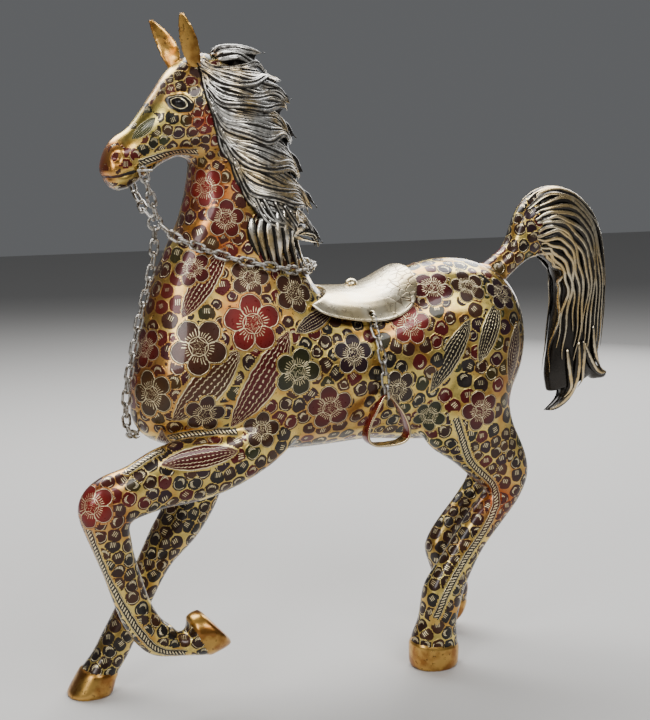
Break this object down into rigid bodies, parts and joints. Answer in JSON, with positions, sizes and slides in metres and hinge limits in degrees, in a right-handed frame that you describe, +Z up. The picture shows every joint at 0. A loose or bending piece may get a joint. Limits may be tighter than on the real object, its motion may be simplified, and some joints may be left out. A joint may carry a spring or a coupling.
{
  "type": "horse statuette",
  "caption": "Cast brass horse statuette with one foreleg raised, engraved lacquer, ridged mane and tail, bolted saddle, chain reins and hanging chain stirrups.",
  "frame": {"origin": "on the ground, at the middle of the bounding box of the whole statuette", "axes": "+Z up, -X the way the horse faces, -Y its left side"},
  "size_m": [0.3862, 0.1036, 0.4113],
  "materials": {
    "engraved_lacquer": "engraved brass, filled with dark and coloured lacquer, glossy",
    "plain_brass": "plain polished brass",
    "antiqued_hair": "blackened brass with polished ridges",
    "bright_brass": "bright polished brass plate",
    "chain_steel": "worn nickelled wire",
    "maroon_enamel": "maroon lacquer with a worn brass tread"
  },
  "bodies": {
    "horse": {"body_shell_left": "engraved_lacquer", "body_shell_right": "engraved_lacquer", "head": "engraved_lacquer", "left_ear": "plain_brass", "right_ear": "plain_brass", "mane": "antiqued_hair", "left_foreleg": "engraved_lacquer", "right_foreleg": "engraved_lacquer", "left_hind_leg": "engraved_lacquer", "right_hind_leg": "engraved_lacquer", "tail_dock": "engraved_lacquer", "tail_hair": "antiqued_hair", "saddle": "bright_brass", "saddle_boss": "bright_brass", "saddle_screw": "bright_brass", "cheek_chain_left": "chain_steel", "cheek_chain_right": "chain_steel", "junction_ring": "chain_steel", "rein_near": "chain_steel"},
    "bit": {"bit_bar": "chain_steel"},
    "far_rein": {"rein_far": "chain_steel"},
    "left_ring": {"left_hook_ring": "chain_steel"},
    "left_link_1": {"left_stirrup_link_1": "chain_steel"},
    "left_link_2": {"left_stirrup_link_2": "chain_steel"},
    "left_link_3": {"left_stirrup_link_3": "chain_steel"},
    "left_link_4": {"left_stirrup_link_4": "chain_steel"},
    "left_link_5": {"left_stirrup_link_5": "chain_steel"},
    "left_link_6": {"left_stirrup_link_6": "chain_steel"},
    "left_stirrup_loop": {"left_stirrup": "maroon_enamel"},
    "right_ring": {"right_hook_ring": "chain_steel"},
    "right_link_1": {"right_stirrup_link_1": "chain_steel"},
    "right_link_2": {"right_stirrup_link_2": "chain_steel"},
    "right_link_3": {"right_stirrup_link_3": "chain_steel"},
    "right_link_4": {"right_stirrup_link_4": "chain_steel"},
    "right_link_5": {"right_stirrup_link_5": "chain_steel"},
    "right_link_6": {"right_stirrup_link_6": "chain_steel"},
    "right_stirrup_loop": {"right_stirrup": "maroon_enamel"}
  },
  "joints": [
    {"name": "bit_turn", "type": "hinge", "parent": "horse", "child": "bit", "pos_m": [-0.146, 0, 0.324], "axis": [0, 1, 0], "continuous": true},
    {"name": "far_rein_swing", "type": "hinge", "parent": "horse", "child": "far_rein", "pos_m": [-0.13828, -0.009, 0.29065], "axis": [0.968, 0.086, -0.2356], "range_deg": [0, 8]},
    {"name": "left_ring_swing", "type": "hinge", "parent": "horse", "child": "left_ring", "pos_m": [-0.011, -0.037, 0.2329], "axis": [-1, 0, 0], "range_deg": [0, 25]},
    {"name": "left_link_1_sway", "type": "hinge", "parent": "left_ring", "child": "left_link_1", "pos_m": [-0.011, -0.0371, 0.2297], "axis": [0, 1, 0], "range_deg": [-12, 12]},
    {"name": "left_link_2_lift", "type": "hinge", "parent": "left_link_1", "child": "left_link_2", "pos_m": [-0.0104, -0.0413, 0.2232], "axis": [-1, 0, 0], "range_deg": [0, 18]},
    {"name": "left_link_3_sway", "type": "hinge", "parent": "left_link_2", "child": "left_link_3", "pos_m": [-0.0097, -0.0446, 0.2164], "axis": [0, 1, 0], "range_deg": [-12, 12]},
    {"name": "left_link_4_lift", "type": "hinge", "parent": "left_link_3", "child": "left_link_4", "pos_m": [-0.009, -0.0465, 0.2092], "axis": [-1, 0, 0], "range_deg": [0, 18]},
    {"name": "left_link_5_sway", "type": "hinge", "parent": "left_link_4", "child": "left_link_5", "pos_m": [-0.0082, -0.0471, 0.20175], "axis": [0, 1, 0], "range_deg": [-12, 12]},
    {"name": "left_link_6_lift", "type": "hinge", "parent": "left_link_5", "child": "left_link_6", "pos_m": [-0.0074, -0.0473, 0.19428], "axis": [-1, 0, 0], "range_deg": [0, 18]},
    {"name": "left_stirrup_sway", "type": "hinge", "parent": "left_link_6", "child": "left_stirrup_loop", "pos_m": [-0.0066, -0.0473, 0.1868], "axis": [0, 1, 0], "range_deg": [-20, 20]},
    {"name": "right_ring_swing", "type": "hinge", "parent": "horse", "child": "right_ring", "pos_m": [-0.011, 0.037, 0.2329], "axis": [1, 0, 0], "range_deg": [0, 25]},
    {"name": "right_link_1_sway", "type": "hinge", "parent": "right_ring", "child": "right_link_1", "pos_m": [-0.011, 0.0371, 0.2297], "axis": [0, 1, 0], "range_deg": [-12, 12]},
    {"name": "right_link_2_lift", "type": "hinge", "parent": "right_link_1", "child": "right_link_2", "pos_m": [-0.0104, 0.0413, 0.2232], "axis": [1, 0, 0], "range_deg": [0, 18]},
    {"name": "right_link_3_sway", "type": "hinge", "parent": "right_link_2", "child": "right_link_3", "pos_m": [-0.0097, 0.0446, 0.2164], "axis": [0, 1, 0], "range_deg": [-12, 12]},
    {"name": "right_link_4_lift", "type": "hinge", "parent": "right_link_3", "child": "right_link_4", "pos_m": [-0.009, 0.0465, 0.2092], "axis": [1, 0, 0], "range_deg": [0, 18]},
    {"name": "right_link_5_sway", "type": "hinge", "parent": "right_link_4", "child": "right_link_5", "pos_m": [-0.0082, 0.0471, 0.20175], "axis": [0, 1, 0], "range_deg": [-12, 12]},
    {"name": "right_link_6_lift", "type": "hinge", "parent": "right_link_5", "child": "right_link_6", "pos_m": [-0.0074, 0.0473, 0.19428], "axis": [1, 0, 0], "range_deg": [0, 18]},
    {"name": "right_stirrup_sway", "type": "hinge", "parent": "right_link_6", "child": "right_stirrup_loop", "pos_m": [-0.0066, 0.0473, 0.1868], "axis": [0, 1, 0], "range_deg": [-20, 20]}
  ]
}
